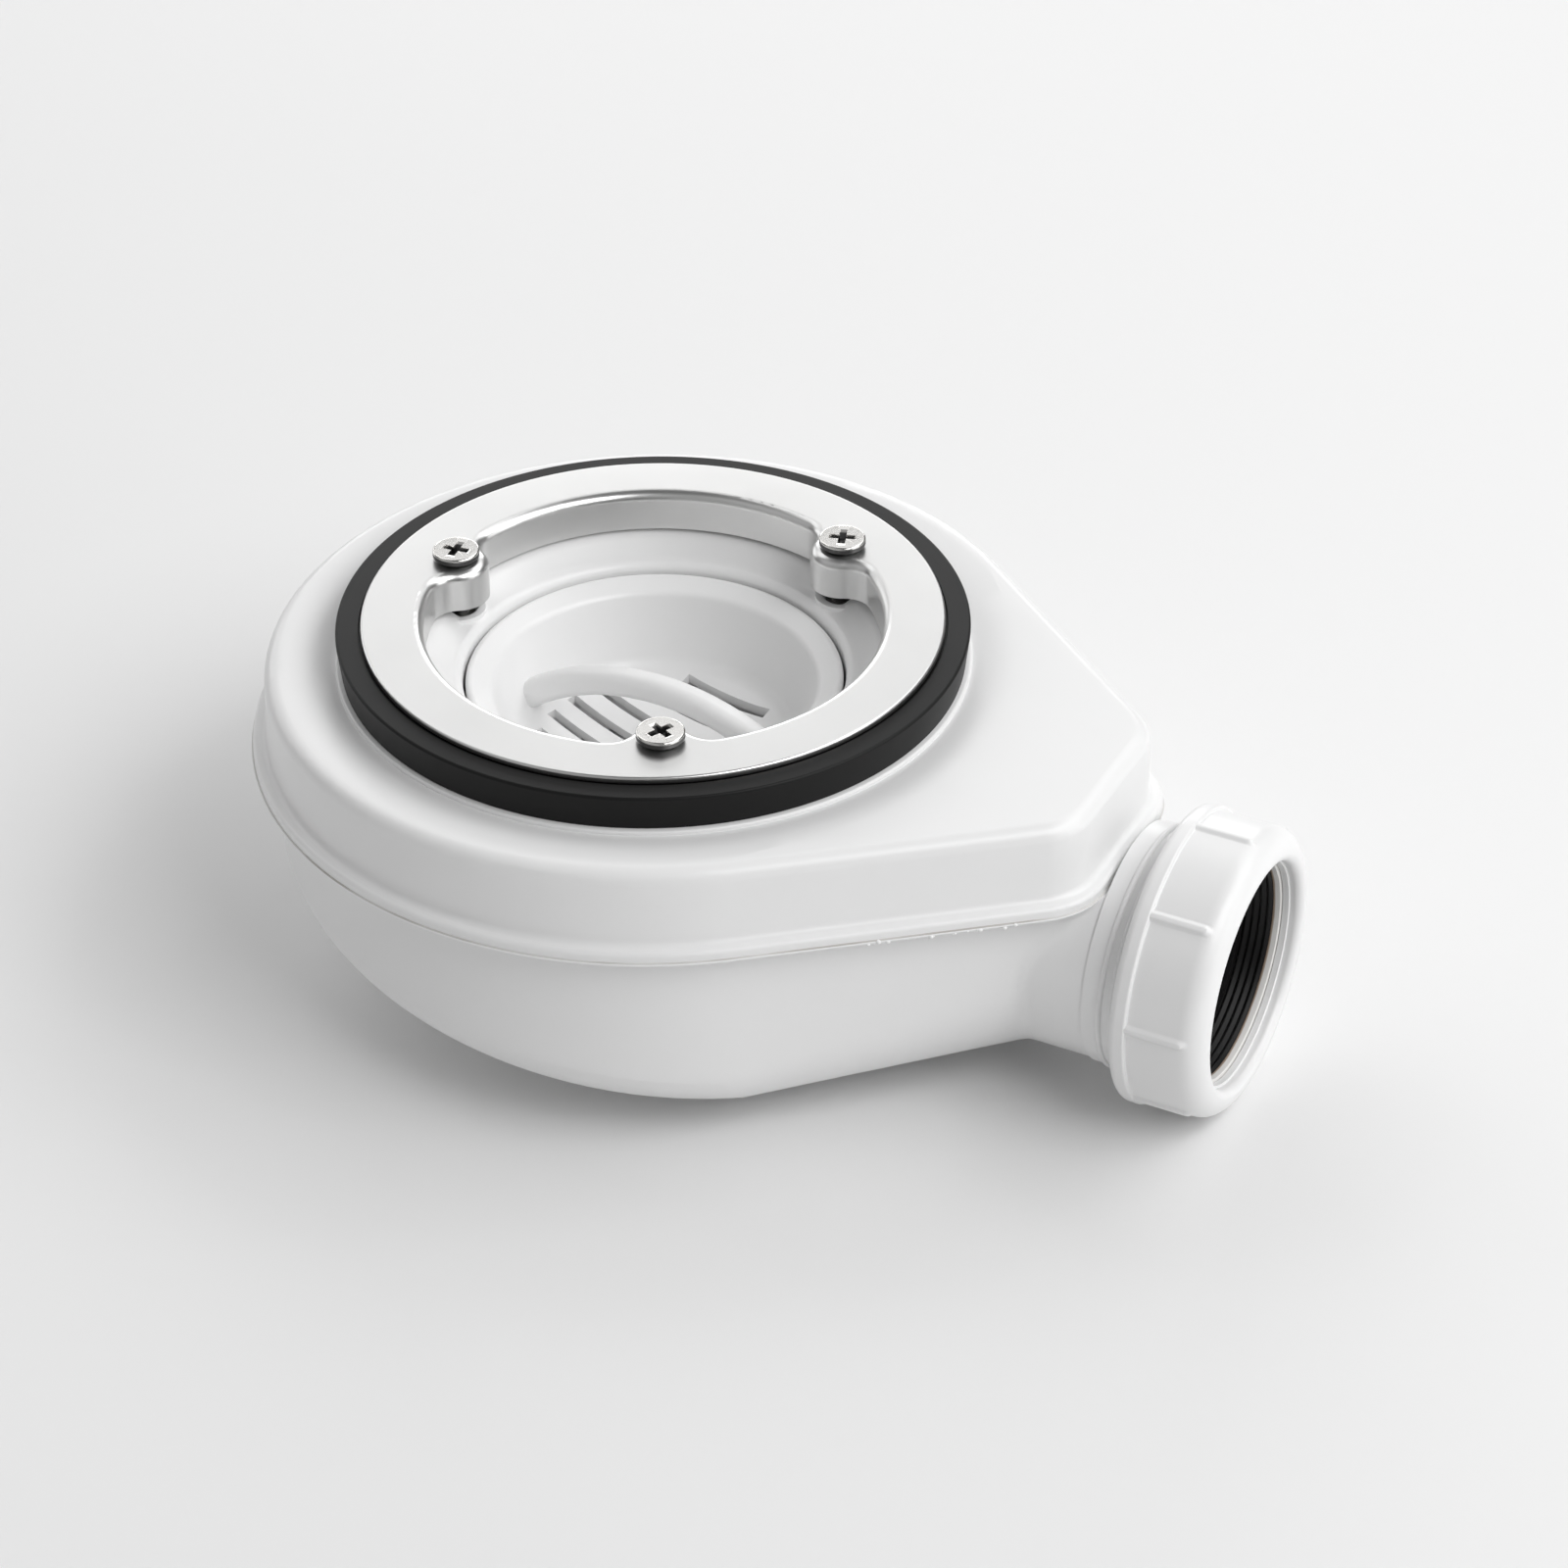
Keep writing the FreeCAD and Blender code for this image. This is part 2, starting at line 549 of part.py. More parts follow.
def make_water_cup():
    cup = disc(CUP_R, CUP_FLOOR_Z, CUP_BRIM_Z)
    cup = cup.makeFillet(CUP_ROUND, circle_edges(cup, CUP_R, CUP_FLOOR_Z))
    inner_r = CUP_R - CUP_WALL
    inner_floor_z = CUP_FLOOR_Z + CUP_WALL
    hollow = disc(inner_r, inner_floor_z, CUP_BRIM_Z)
    hollow = hollow.makeFillet(CUP_ROUND - CUP_WALL, circle_edges(hollow, inner_r, inner_floor_z))
    leg = disc(CUP_R, CUP_BRIM_Z, RIM_FOOT_Z).cut(disc(inner_r, CUP_BRIM_Z, RIM_FOOT_Z))
    leg_box = Part.makeBox(CUP_R, CUP_LEG_W, RIM_FOOT_Z - CUP_BRIM_Z, Vector(0, -CUP_LEG_W / 2, CUP_BRIM_Z))
    leg = leg.common(leg_box)
    return cup.cut(hollow).fuse(spread(leg, CUP_LEGS)).removeSplitter()


PIECES = {
    "clamp_ring": make_clamp_ring,
    "clamp_screws": make_clamp_screws,
    "screw_inserts": make_screw_inserts,
    "flange_seal": make_flange_seal,
    "upper_shell": make_upper_shell,
    "lower_shell": make_lower_shell,
    "strainer_insert": make_strainer_insert,
    "insert_oring": make_insert_oring,
    "water_cup": make_water_cup,
    "outlet_nut": make_outlet_nut,
    "slip_washer": make_slip_washer,
    "outlet_seal": make_outlet_seal,
}

os.makedirs("parts", exist_ok=True)
for name, make in PIECES.items():
    piece = make()
    print(name, "valid", piece.isValid(), "solids", len(piece.Solids), "volume", round(piece.Volume))
    piece.exportStep("parts/" + name + ".step")
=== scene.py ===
import json
import math

import bmesh
import bpy
from mathutils import Matrix, Vector
from mathutils.geometry import convex_hull_2d


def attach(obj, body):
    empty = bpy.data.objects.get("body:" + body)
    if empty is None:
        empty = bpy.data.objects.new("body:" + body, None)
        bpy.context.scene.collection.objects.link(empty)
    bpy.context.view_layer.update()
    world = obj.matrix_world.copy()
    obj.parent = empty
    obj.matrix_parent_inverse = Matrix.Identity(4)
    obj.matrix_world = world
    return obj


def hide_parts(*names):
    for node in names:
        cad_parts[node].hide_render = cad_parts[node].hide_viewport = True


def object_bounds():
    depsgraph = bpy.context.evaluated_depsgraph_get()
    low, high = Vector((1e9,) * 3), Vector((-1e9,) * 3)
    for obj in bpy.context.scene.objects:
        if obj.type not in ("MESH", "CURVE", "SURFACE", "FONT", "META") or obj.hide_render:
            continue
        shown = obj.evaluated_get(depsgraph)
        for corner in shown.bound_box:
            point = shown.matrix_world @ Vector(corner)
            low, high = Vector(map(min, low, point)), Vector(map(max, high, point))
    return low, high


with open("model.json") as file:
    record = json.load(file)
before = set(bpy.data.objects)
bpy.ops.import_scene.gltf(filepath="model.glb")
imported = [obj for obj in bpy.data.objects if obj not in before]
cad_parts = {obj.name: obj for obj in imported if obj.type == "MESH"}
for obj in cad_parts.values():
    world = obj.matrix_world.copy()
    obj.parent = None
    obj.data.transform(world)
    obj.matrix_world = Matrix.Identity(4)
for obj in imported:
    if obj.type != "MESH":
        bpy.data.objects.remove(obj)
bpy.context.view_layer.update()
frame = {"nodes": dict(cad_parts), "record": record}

MM = 0.001
FULL_TURN = 2 * math.pi
QUARTER_TURN = math.pi / 2

# Sizes are in millimetres and angles in degrees, in the frame of the solids:
# +Z up on the drain axis, +X out of the outlet.

# Clamp ring and its screws
RING_R = 55.0
RING_TOP_Z = 1.2
SCREW_CIRCLE_R = 42.8
SCREW_FIRST_ANGLE = 60.0
SCREW_TURNS = (20.0, 8.0, 65.0)
HEAD_R = 4.5
HEAD_FOOT_R = 3.6
HEAD_FOOT_ROUND = 0.1
HEAD_TAPER = 0.8
HEAD_TAPER_ROUND = 0.15
HEAD_TOP_Z = 3.3
HEAD_ROUND = 0.42
# The screw's colour is painted shade below the first of these heights and bright plating above the second.
HEAD_SHADE_Z = HEAD_TOP_Z - 0.6
HEAD_UNSHADED_Z = HEAD_TOP_Z - 0.3
SHANK_R = 2.0
SHANK_TIP_Z = -18.0
SHANK_TIP_ROUND = 0.4
RECESS_DEPTH = 1.5
RECESS_ARM = 2.9
RECESS_ARM_W = 1.6
RECESS_FOOT_ARM = 1.6
RECESS_FOOT_HALF_W = 0.5
RECESS_HEART_R = 1.3
RECESS_HEART_FOOT_R = 0.45
RECESS_HEART_TIP = 0.4
RECESS_OVERCUT = 0.5
WORN_EDGE_W = 0.07
WORN_EDGE_STEPS = 2

# Rubber gasket under the ring
GASKET_R = 59.8
GASKET_FOOT_R = 59.0
GASKET_BORE_R = 45.6
GASKET_FOOT_Z = -7.0
GASKET_BORE_ROUND = 0.3
GASKET_FOOT_ROUND = 0.35
GASKET_TOP_ROUND = 0.5
GASKET_GROOVE_W = 0.8
GASKET_GROOVE_DEPTH = 0.6
GASKET_GROOVE_ROUND = 0.1

# Thread on the spigot
OUTLET_Z = -42.5
THREAD_PITCH = 2.309
THREAD_START_X = 102.3
THREAD_END_X = 113.0
THREAD_START_R = 23.2
THREAD_END_R = 22.94
THREAD_BEAD_R = 0.56
THREAD_FADE = 0.1
THREAD_FADE_SIZE = 0.1
THREAD_STEPS = 96

# Union nut
NUT_BACK_X = 106.7
NUT_STEP_X = 110.2
NUT_FRONT_X = 124.8
NUT_R = 27.8
NUT_FLANGE_R = 28.6
NUT_BORE_R = 23.7
NUT_SHOULDER_X = 121.0
NUT_BACK_ROUND = 0.5
NUT_FLANGE_ROUND = 1.7
NUT_FLANGE_EDGE_ROUND = 0.45
NUT_STEP_ROUND = 0.3
NUT_FRONT_ROUND = 4.5
NUT_SHOULDER_ROUND = 0.2
NUT_SKIN_START_X = NUT_STEP_X + 0.8
NUT_SKIN_END_X = 120.0
NUT_SKIN_STEPS = 24
LIP_R = 21.4
LIP_FRONT_R = LIP_R + 0.4
LIP_FRONT_ROUND = 1.6
LIP_STEP_X = 122.3
LIP_STEP_ROUND = 0.12
RIB_COUNT = 8
RIB_TURN = -4.5
RIB_START_X = NUT_STEP_X - 0.5
RIB_END_X = 121.3
RIB_W = 1.7
RIB_RISE = 0.7
RIB_CROWN_SHARE = 0.12
RIB_FOOT_SHARE = 0.78
RIB_SKIN_SHARE = 0.9
RIB_REACH = 1.6
RIB_STEPS = 11
RIB_GAP_STEPS = 9

# Slide washer and rubber in the nut
WASHER_FRONT_X = 120.9
WASHER_BACK_X = 119.3
WASHER_R = 23.3
WASHER_BORE_R = 20.8
WASHER_ROUND = 0.25
STAIN_START_X = 119.45
STAIN_END_X = 119.75
STAIN_WANDER = 0.3
LIP_SEAL_BACK_X = 113.7
LIP_SEAL_BORE_R = 20.3
LIP_SEAL_ROUND = 0.2
LIP_SEAL_RIDGES = 4
LIP_SEAL_RIDGE_H = 0.5
LIP_SEAL_RIDGE_ROUND = 0.3
LIP_SEAL_VALLEY_W = 0.2
LIP_SEAL_VALLEY_ROUND = 0.1
# A thin black sleeve behind the seal lines the spigot's bore: painted shade deep in the bore.
SHADE_SLEEVE_END_X = 107.0
SHADE_SLEEVE_R = 20.08
SHADE_SLEEVE_BORE_R = 19.96
SHADE_SLEEVE_LAP = 0.1

# Lift-out strainer with its grip and ring seal
RIM_R = 35.9
RIM_TOP_Z = -11.9
RIM_TOP_ROUND = 1.0
RIM_FOOT_Z = -20.0
RIM_FOOT_R = 31.6
STEP_R = 31.0
STEP_Z = -14.2
STEP_ROUND = 2.2
DISH_R = 69.0
DISH_EDGE_R = 26.4
DISH_EDGE_ROUND = 4.0
DISH_Z = -33.0
DISH_STEPS = 9
STRAINER_WALL = 1.8
DIP_FOOT_Z = -42.0
GROOVE_R = 34.6
GROOVE_HALF = 1.3
SLOT_W = 2.3
SLOT_PITCH = 6.3
SLOT_OFFSET = 2.3
SLOT_ANGLE = -11.4
SLOT_REACH = 23.5
SLOT_CUT_H = 24.0
GRIP_ARC_R = 48.0
GRIP_TOP_Z = -13.4
GRIP_W = 5.0
GRIP_T = 5.4
GRIP_HALF_ARC = 38.5
GRIP_ROUND = 2.0
GRIP_ROUND_STEPS = 6
GRIP_STEPS = 48
RING_SEAL_CENTRE_R = 35.41
RING_SEAL_R = 0.78
RING_SEAL_Z = -17.2

# Weld between the two halves. Its beads show on the straight side between these two points.
PARTING_Z = -24.0
PARTING_TOLERANCE = 0.01
SEAM_R = 0.34
# The top of the weld's bead, in the crease under the lip, is painted shade above this height.
SEAM_SHADE_Z = -23.83
SEAM_SHADE_FADE = 0.04
SEAM_EDGE_ANGLE = 60
BEADS_START = (66.5, -45.1, -24.3)
BEADS_END = (87.4, -28.5, -24.3)
BEAD_COUNT = 17
BEAD_SEED = 7
BEAD_R = 0.4
BEAD_SMALLEST = 0.45
BEAD_LARGEST = 1.15
BEAD_STRETCH = 1.3
BEAD_WANDER = 0.2
BEAD_GAP_JITTER = 1.1

# How finely round forms are divided, and how meshes are joined and shaded
ROUND_SIDES = 160
GASKET_SIDES = 240
SCREW_SIDES = 72
HEART_SIDES = 24
RING_SEAL_SIDES = 16
TUBE_SIDES = 12
CORNER_STEPS = 5
NUT_CORNER_STEPS = 12
STRAINER_CORNER_STEPS = 8
MERGE_GAP = 0.002
EDGE_ANGLE = 35


# Node trees

class Value:
    """A number in a node tree. Arithmetic on it adds Math nodes to its tree."""

    def __init__(self, graph, socket):
        self.graph = graph
        self.socket = socket

    def combine(self, operation, first, second):
        return self.graph.node("ShaderNodeMath", {"operation": operation}, {0: first, 1: second})["Value"]

    def __add__(self, other):
        return self.combine("ADD", self, other)

    def __radd__(self, other):
        return self.combine("ADD", other, self)

    def __sub__(self, other):
        return self.combine("SUBTRACT", self, other)

    def __rsub__(self, other):
        return self.combine("SUBTRACT", other, self)

    def __mul__(self, other):
        return self.combine("MULTIPLY", self, other)

    def __rmul__(self, other):
        return self.combine("MULTIPLY", other, self)

    def __truediv__(self, other):
        return self.combine("DIVIDE", self, other)

    def __rtruediv__(self, other):
        return self.combine("DIVIDE", other, self)

    def __pow__(self, other):
        return self.combine("POWER", self, other)

    def __rpow__(self, other):
        return self.combine("POWER", other, self)

    def __gt__(self, other):
        return self.combine("GREATER_THAN", self, other)

    def __lt__(self, other):
        return self.combine("LESS_THAN", self, other)


class Outputs:
    """The outputs of one node, by name, or by number where several share a name."""

    def __init__(self, graph, made):
        self.graph = graph
        self.made = made

    def __getitem__(self, key):
        return Value(self.graph, self.made.outputs[key])


class Graph:
    """A node tree. Every node in it comes from node()."""

    def __init__(self, tree):
        self.tree = tree

    def node(self, kind, settings, inputs):
        made = self.tree.nodes.new(kind)
        for key, value in settings.items():
            if key == "choices":
                while len(made.index_switch_items) < value:
                    made.index_switch_items.new()
            else:
                setattr(made, key, value)
        for key, value in inputs.items():
            for each in value if isinstance(value, list) else [value]:
                if isinstance(each, Value):
                    self.tree.links.new(each.socket, made.inputs[key])
                else:
                    made.inputs[key].default_value = each
        return Outputs(self, made)

    def axes(self, vector):
        """The X, Y and Z of a vector."""
        return self.node("ShaderNodeSeparateXYZ", {}, {"Vector": vector})

    def ease(self, value, low, high, at_low, at_high):
        """A number that eases from one level to another as the value goes from low to high."""
        inputs = {"Value": value, "From Min": low, "From Max": high, "To Min": at_low, "To Max": at_high}
        return self.node("ShaderNodeMapRange", {"interpolation_type": "SMOOTHERSTEP"}, inputs)["Result"]


class Finish(Graph):
    """One procedural material."""

    def __init__(self, name):
        self.material = bpy.data.materials.new(name)
        self.material.use_nodes = True
        super().__init__(self.material.node_tree)
        self.shader = self.tree.nodes["Principled BSDF"]

    def place(self):
        return self.node("ShaderNodeTexCoord", {}, {})["Object"]

    def noise(self, scale, detail, place=None):
        inputs = {"Vector": place or self.place(), "Scale": scale, "Detail": detail}
        return self.node("ShaderNodeTexNoise", {}, inputs)["Fac"]

    def mix(self, factor, first, second):
        """A colour between two. Sockets 6 and 7 and output 2 of this node are its colours."""
        inputs = {"Factor": factor, 6: (*first, 1), 7: (*second, 1)}
        return self.node("ShaderNodeMix", {"data_type": "RGBA"}, inputs)[2]

    def bump(self, height, strength, distance):
        inputs = {"Height": height, "Strength": strength, "Distance": distance}
        return self.node("ShaderNodeBump", {}, inputs)["Normal"]

    def surface(self, **inputs):
        for name, value in inputs.items():
            socket = self.shader.inputs[name.replace("_", " ")]
            if isinstance(value, Value):
                self.tree.links.new(value.socket, socket)
            else:
                socket.default_value = value


class Shaper(Graph):
    """A Geometry Nodes tree with a named input for each of its sizes."""

    SOCKETS = {int: "NodeSocketInt", float: "NodeSocketFloat"}

    def __init__(self, name, **sizes):
        super().__init__(bpy.data.node_groups.new(name, "GeometryNodeTree"))
        self.sizes = sizes
        self.sockets = {}
        self.add_socket("Geometry", "INPUT", "NodeSocketGeometry")
        self.add_socket("Finish", "INPUT", "NodeSocketMaterial")
        for size, value in sizes.items():
            self.add_socket(size, "INPUT", self.SOCKETS[type(value)])
        self.add_socket("Shaped", "OUTPUT", "NodeSocketGeometry")
        self.inputs = self.node("NodeGroupInput", {}, {})

    def add_socket(self, name, way, kind):
        socket = self.tree.interface.new_socket(name, in_out=way, socket_type=kind)
        self.sockets[name] = socket.identifier

    def __getitem__(self, size):
        return self.inputs[size]

    def place(self):
        return self.node("GeometryNodeInputPosition", {}, {})["Position"]

    def vector(self, x, y, z):
        return self.node("ShaderNodeCombineXYZ", {}, {"X": x, "Y": y, "Z": z})["Vector"]

    def chance(self, low, high, seed):
        """A random number for each point. Sockets 2 and 3 and output 1 of this node are its floats."""
        inputs = {2: low, 3: high, "Seed": seed}
        return self.node("FunctionNodeRandomValue", {"data_type": "FLOAT"}, inputs)[1]

    def tube(self, curve, radius, capped):
        """A round bead along a curve."""
        circle = {"Resolution": TUBE_SIDES, "Radius": radius}
        section = self.node("GeometryNodeCurvePrimitiveCircle", {}, circle)["Curve"]
        inputs = {"Curve": curve, "Profile Curve": section, "Fill Caps": capped}
        return self.node("GeometryNodeCurveToMesh", {}, inputs)["Mesh"]

    def moved(self, geometry, **inputs):
        return self.node("GeometryNodeTransform", {}, {"Geometry": geometry, **inputs})["Geometry"]

    def joined(self, *pieces):
        return self.node("GeometryNodeJoinGeometry", {}, {"Geometry": list(pieces)})["Geometry"]

    def realized(self, geometry):
        return self.node("GeometryNodeRealizeInstances", {}, {"Geometry": geometry})["Geometry"]

    def end(self, geometry):
        inputs = {"Geometry": self.realized(geometry), "Material": self["Finish"]}
        finished = self.node("GeometryNodeSetMaterial", {}, inputs)["Geometry"]
        self.node("NodeGroupOutput", {}, {"Shaped": finished})

    def shape(self, piece, material):
        """Runs the tree on a piece and leaves a plain mesh."""
        modifier = piece.modifiers.new(self.tree.name, "NODES")
        modifier.node_group = self.tree
        modifier[self.sockets["Finish"]] = material
        for size, value in self.sizes.items():
            modifier[self.sockets[size]] = value
        make_plain(piece)


# Finishes

PLASTIC_IOR = 1.49


def moulded_plastic(name, light, dark, roughness):
    """Glossy moulding: a faint flow mottle, and a skin that is not quite flat."""
    finish = Finish(name)
    flow = finish.noise(scale=28.0, detail=3.0)
    skin = finish.noise(scale=260.0, detail=2.0) + 0.12 * finish.noise(scale=2400.0, detail=2.0)
    finish.surface(
        Base_Color=finish.mix(flow, dark, light),
        Roughness=roughness - 0.04 + 0.08 * finish.noise(scale=90.0, detail=3.0),
        Normal=finish.bump(skin, strength=0.05, distance=0.2 * MM),
        IOR=PLASTIC_IOR,
    )
    return finish.material


def welded_plastic(name, color, crease_shade_color, roughness):
    """The weld's thin bead, with painted shade in the crease under the lip above it, uneven in patches."""
    finish = Finish(name)
    height = finish.axes(finish.place())["Z"]
    shade_from, shade_to = SEAM_SHADE_Z - SEAM_SHADE_FADE, SEAM_SHADE_Z + SEAM_SHADE_FADE
    # Painted shade with a warm tint in the crease under the lip.
    crease = finish.ease(height, shade_from * MM, shade_to * MM, 0.0, 1.0)
    patches = finish.ease(finish.noise(scale=60.0, detail=2.0), 0.3, 0.7, 0.55, 1.0)
    finish.surface(
        Base_Color=finish.mix(crease * patches, color, crease_shade_color),
        Roughness=roughness + 0.3 * crease,
        IOR=PLASTIC_IOR,
    )
    return finish.material


def stained_plastic(name, color, stain, roughness):
    """A pale slide ring, stained brown on the side that bears on the rubber."""
    finish = Finish(name)
    along = finish.axes(finish.place())["X"]
    uneven = STAIN_WANDER * MM * finish.noise(scale=120.0, detail=2.0)
    clean = finish.ease(along - uneven, STAIN_START_X * MM, STAIN_END_X * MM, 0.0, 1.0)
    finish.surface(
        Base_Color=finish.mix(clean, stain, color),
        Roughness=roughness + 0.06 * finish.noise(scale=400.0, detail=2.0),
        IOR=PLASTIC_IOR,
    )
    return finish.material


def satin_steel(name, color, roughness):
    """Pressed sheet with a faint grain drawn one way."""
    finish = Finish(name)
    inputs = {"Vector": finish.place(), "Scale": (90.0, 1500.0, 600.0)}
    stretched = finish.node("ShaderNodeMapping", {}, inputs)["Vector"]
    grain = finish.noise(scale=1.0, detail=3.0, place=stretched)
    cloud = finish.noise(scale=45.0, detail=2.0)
    dark = tuple(0.94 * channel for channel in color)
    finish.surface(
        Base_Color=finish.mix(cloud, dark, color),
        Metallic=1.0,
        Roughness=roughness - 0.05 + 0.05 * grain + 0.05 * cloud,
        Normal=finish.bump(grain, strength=0.008, distance=0.02 * MM),
    )
    return finish.material


def turned_metal(name, color, roughness):
    """Bright turned or plated metal with small handling marks."""
    finish = Finish(name)
    marks = finish.noise(scale=900.0, detail=4.0)
    cloud = finish.noise(scale=160.0, detail=2.0)
    dark = tuple(0.8 * channel for channel in color)
    finish.surface(
        Base_Color=finish.mix(cloud, dark, color),
        Metallic=1.0,
        Roughness=roughness + 0.14 * marks ** 2.0,
        Normal=finish.bump(marks, strength=0.08, distance=0.03 * MM),
    )
    return finish.material


def screw_metal(name, color, shaded_color, roughness):
    """Bright plating on the top of the heads, with painted shade, a near-black colour, in the recess and below
    the edge, where it is also rougher.
    """
    finish = Finish(name)
    height = finish.axes(finish.place())["Z"]
    top = finish.ease(height, HEAD_SHADE_Z * MM, HEAD_UNSHADED_Z * MM, 0.0, 1.0)
    marks = finish.noise(scale=900.0, detail=4.0)
    finish.surface(
        Base_Color=finish.mix(top, shaded_color, color),
        Metallic=1.0,
        Roughness=roughness + 0.1 * marks ** 2.0 + 0.2 * (1.0 - top),
        Normal=finish.bump(marks, strength=0.03, distance=0.02 * MM),
    )
    return finish.material


def soft_rubber(name, light, dark, roughness):
    """Black rubber with a fine dusty skin."""
    finish = Finish(name)
    dust = finish.noise(scale=70.0, detail=4.0)
    skin = finish.noise(scale=1500.0, detail=3.0)
    finish.surface(
        Base_Color=finish.mix(dust, dark, light),
        Roughness=roughness - 0.06 + 0.12 * dust,
        Normal=finish.bump(skin, strength=0.12, distance=0.04 * MM),
        Specular_IOR_Level=0.2,
    )
    return finish.material


FINISHES = {
    "white_plastic": moulded_plastic("white_plastic", (0.84, 0.84, 0.84), (0.82, 0.82, 0.82), 0.30),
    "washer_plastic": stained_plastic("washer_plastic", (0.78, 0.77, 0.75), (0.34, 0.26, 0.20), 0.34),
    "stainless_sheet": satin_steel("stainless_sheet", (0.74, 0.74, 0.735), 0.30),
    "bright_screw": screw_metal("bright_screw", (0.76, 0.75, 0.73), (0.10, 0.10, 0.10), 0.16),
    "insert_metal": turned_metal("insert_metal", (0.55, 0.54, 0.52), 0.28),
    "black_rubber": soft_rubber("black_rubber", (0.008, 0.008, 0.008), (0.004, 0.004, 0.004), 0.46),
}
WELD_FINISH = welded_plastic("weld_plastic", (0.87, 0.87, 0.87), (0.46, 0.44, 0.42), 0.32)
SLOTS = {part["node"]: part["material_slot"] for part in frame["record"]["subparts"]}
BODIES = {node: body for body, nodes in frame["record"]["behaviour"]["bodies"].items() for node in nodes}


# How pieces are made

def new_piece(name, mesh):
    piece = bpy.data.objects.new(name, mesh)
    bpy.context.scene.collection.objects.link(piece)
    return piece


def finished_form(name, form):
    """A piece from a form that is no longer needed."""
    mesh = bpy.data.meshes.new(name)
    form.to_mesh(mesh)
    form.free()
    return new_piece(name, mesh)


def close_gaps(form):
    """Joins points that coincide and drops faces that have no area."""
    bmesh.ops.remove_doubles(form, verts=form.verts, dist=MERGE_GAP * MM)
    bmesh.ops.dissolve_degenerate(form, edges=form.edges, dist=MERGE_GAP * MM)


def make_plain(piece):
    """Turns a piece with its modifiers into one plain mesh."""
    graph = bpy.context.evaluated_depsgraph_get()
    mesh = bpy.data.meshes.new_from_object(piece.evaluated_get(graph))
    piece.modifiers.clear()
    piece.data = mesh


def smooth(piece, angle=EDGE_ANGLE):
    """Shades the piece smooth, with its edges kept and its large faces flat."""
    piece.data.shade_smooth()
    piece.data.set_sharp_from_angle(angle=math.radians(angle))
    weighted = piece.modifiers.new("face_weights", "WEIGHTED_NORMAL")
    weighted.keep_sharp = True


def settle(piece, node):
    """Rides the piece on its node's body, in the node's place and finish."""
    slot = SLOTS[node]
    piece.data.materials.clear()
    piece.data.materials.append(FINISHES[slot])
    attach(piece, BODIES[node])
    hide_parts(node)


def copied(node, name):
    """The node's own form, with its loose triangles joined and their old shading dropped."""
    form = bmesh.new()
    form.from_mesh(frame["nodes"][node].data)
    close_gaps(form)
    piece = finished_form(name, form)
    old_shading = piece.data.attributes.get("custom_normal")
    if old_shading:
        piece.data.attributes.remove(old_shading)
    return piece


def rounded(corners, steps=CORNER_STEPS):
    """The points of a closed outline whose (x, y, radius) corners are rounded off."""
    points = []
    for index, (x, y, radius) in enumerate(corners):
        corner = Vector((x, y))
        if not radius:
            points.append(corner)
            continue
        before = (Vector(corners[index - 1][:2]) - corner).normalized()
        after = (Vector(corners[(index + 1) % len(corners)][:2]) - corner).normalized()
        half = before.angle(after) / 2
        centre = corner + (before + after).normalized() * radius / math.sin(half)
        start = corner + before * radius / math.tan(half) - centre
        end = corner + after * radius / math.tan(half) - centre
        sweep = math.atan2(start.x * end.y - start.y * end.x, start.dot(end))
        for step in range(steps + 1):
            points.append(centre + Matrix.Rotation(sweep * step / steps, 2) @ start)
    return points


def around(count):
    return [FULL_TURN * index / count for index in range(count)]


def turned(name, profile, angles, spot):
    """A piece turned from a closed (along, radius) outline. spot() places a point of it in millimetres."""
    form = bmesh.new()
    rings = []
    for angle in angles:
        rings.append([form.verts.new(MM * spot(point[0], point[1], angle)) for point in profile])
    for first, second in zip(rings, rings[1:] + rings[:1]):
        for index in range(len(profile)):
            form.faces.new((first[index - 1], first[index], second[index], second[index - 1]))
    close_gaps(form)
    bmesh.ops.recalc_face_normals(form, faces=form.faces)
    return finished_form(name, form)


def on_drain(z, radius, angle):
    return Vector((radius * math.cos(angle), radius * math.sin(angle), z))


def on_outlet(x, radius, angle):
    return Vector((x, -radius * math.sin(angle), OUTLET_Z + radius * math.cos(angle)))


def block(name, low, low_half, high, high_half):
    """A four-sided tapered block between two heights."""
    form = bmesh.new()
    for z, (half_x, half_y) in ((low, low_half), (high, high_half)):
        for x, y in ((-1, -1), (1, -1), (1, 1), (-1, 1)):
            form.verts.new(MM * Vector((x * half_x, y * half_y, z)))
    bmesh.ops.convex_hull(form, input=form.verts)
    return finished_form(name, form)


def carve(piece, cutters):
    """Cuts other forms out of a piece and removes them."""
    for cutter in cutters:
        cut = piece.modifiers.new(cutter.name, "BOOLEAN")
        cut.operation = "DIFFERENCE"
        cut.solver = "EXACT"
        cut.object = cutter
    make_plain(piece)
    for cutter in cutters:
        bpy.data.objects.remove(cutter)


# Screws and gasket

